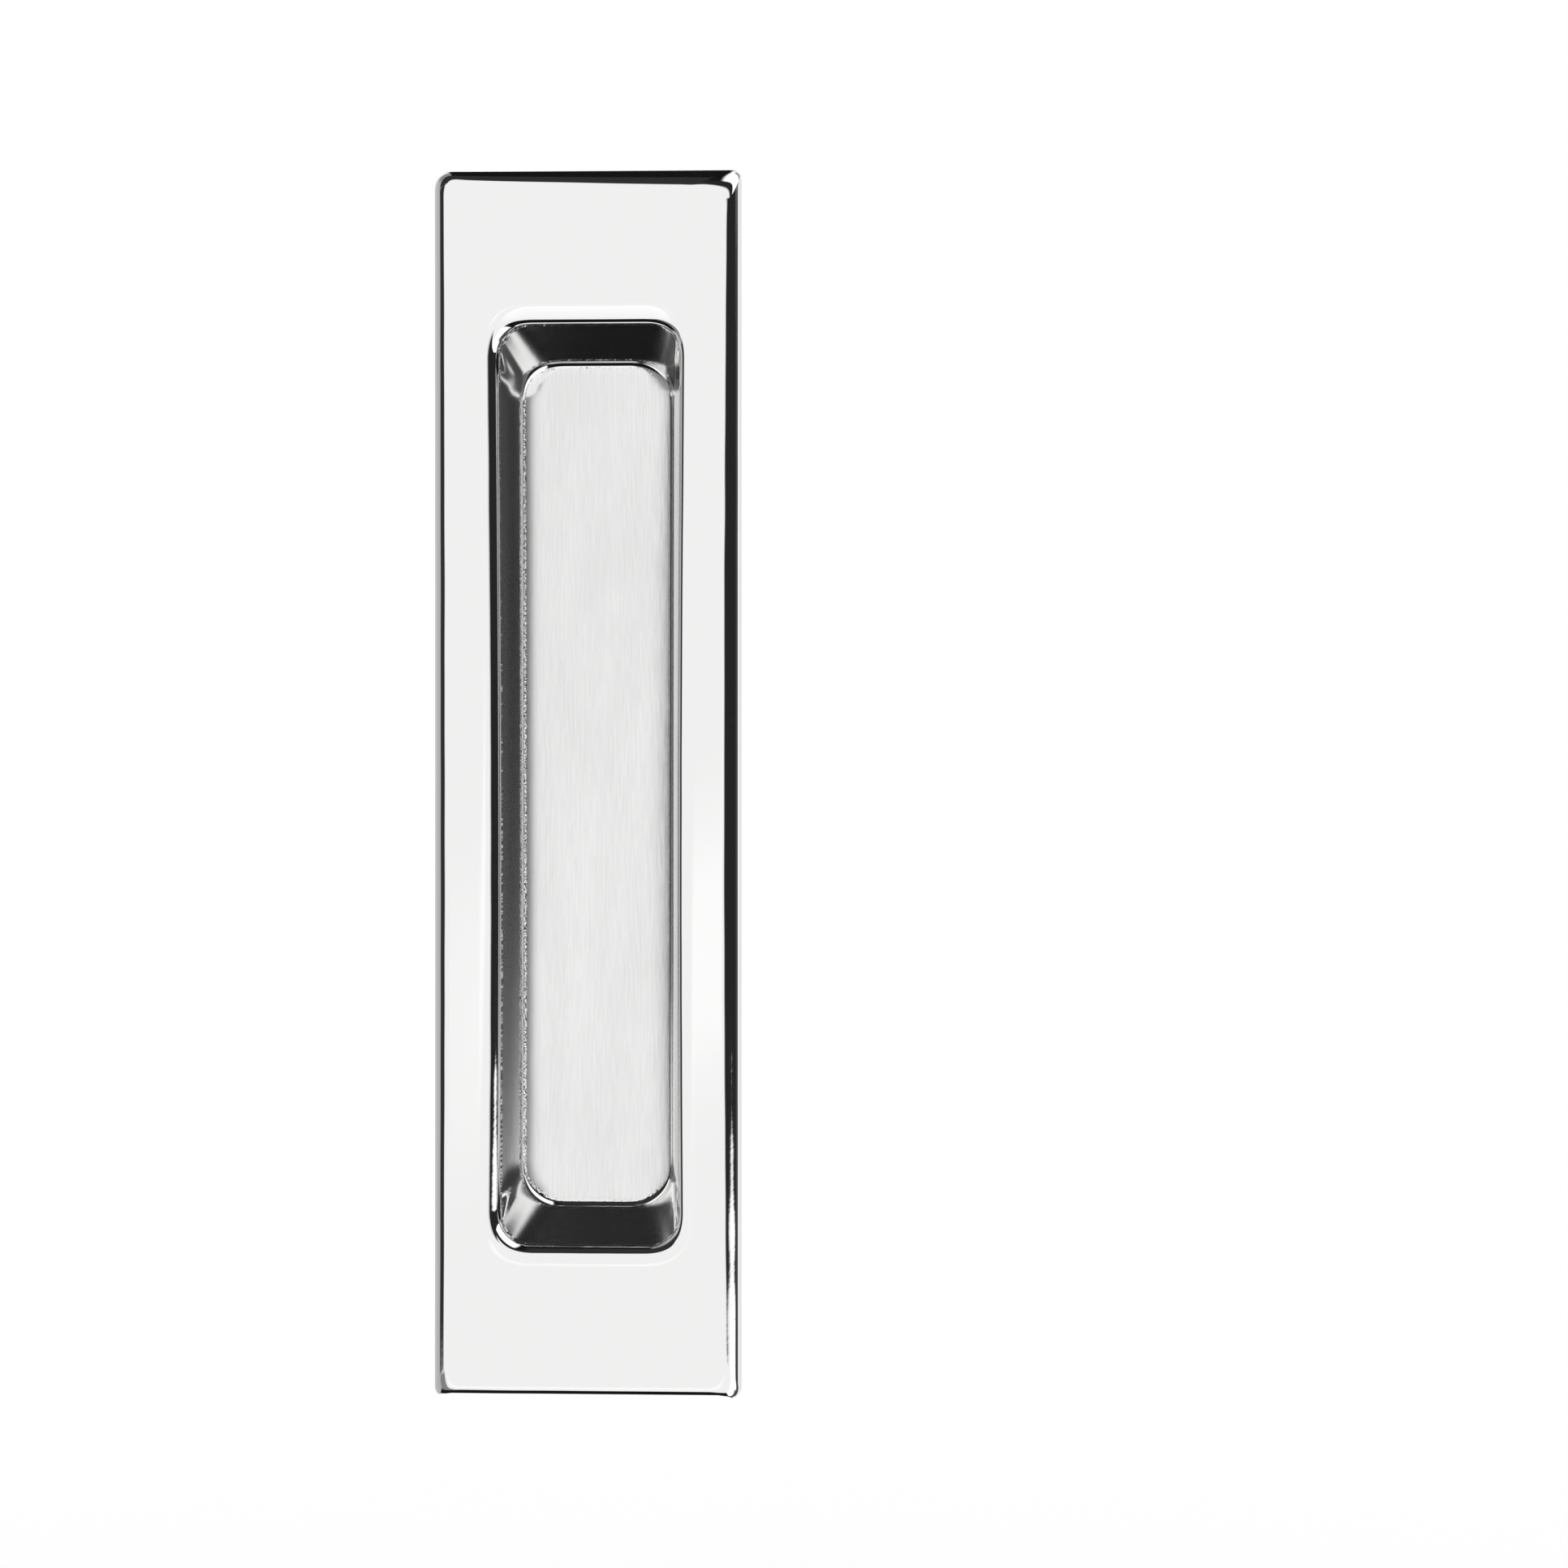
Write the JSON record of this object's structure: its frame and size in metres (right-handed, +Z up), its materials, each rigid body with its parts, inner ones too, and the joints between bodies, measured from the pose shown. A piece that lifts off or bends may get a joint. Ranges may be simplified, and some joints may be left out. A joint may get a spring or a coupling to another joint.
{
  "type": "sliding door handle",
  "caption": "Tall rectangular flush pull for a sliding door: a thin raised plate with a long recess for the fingers, clipped over a screwed base plate.",
  "frame": {"origin": "in the plane of the door's face, in the middle of the mouth of the pocket cut in the door", "axes": "+Z up along the plate, +Y into the door, +X to the right seen from the room"},
  "size_m": [0.0384, 0.017, 0.153],
  "materials": {
    "cover": "polished outside and on the recess walls, finely brushed upright on the recess floor",
    "base_plate": "fine moulded grain",
    "screw": "bright zinc"
  },
  "bodies": {
    "root": {"cover": "cover", "base_plate": "base_plate", "upper_screw": "screw", "lower_screw": "screw"}
  },
  "joints": []
}
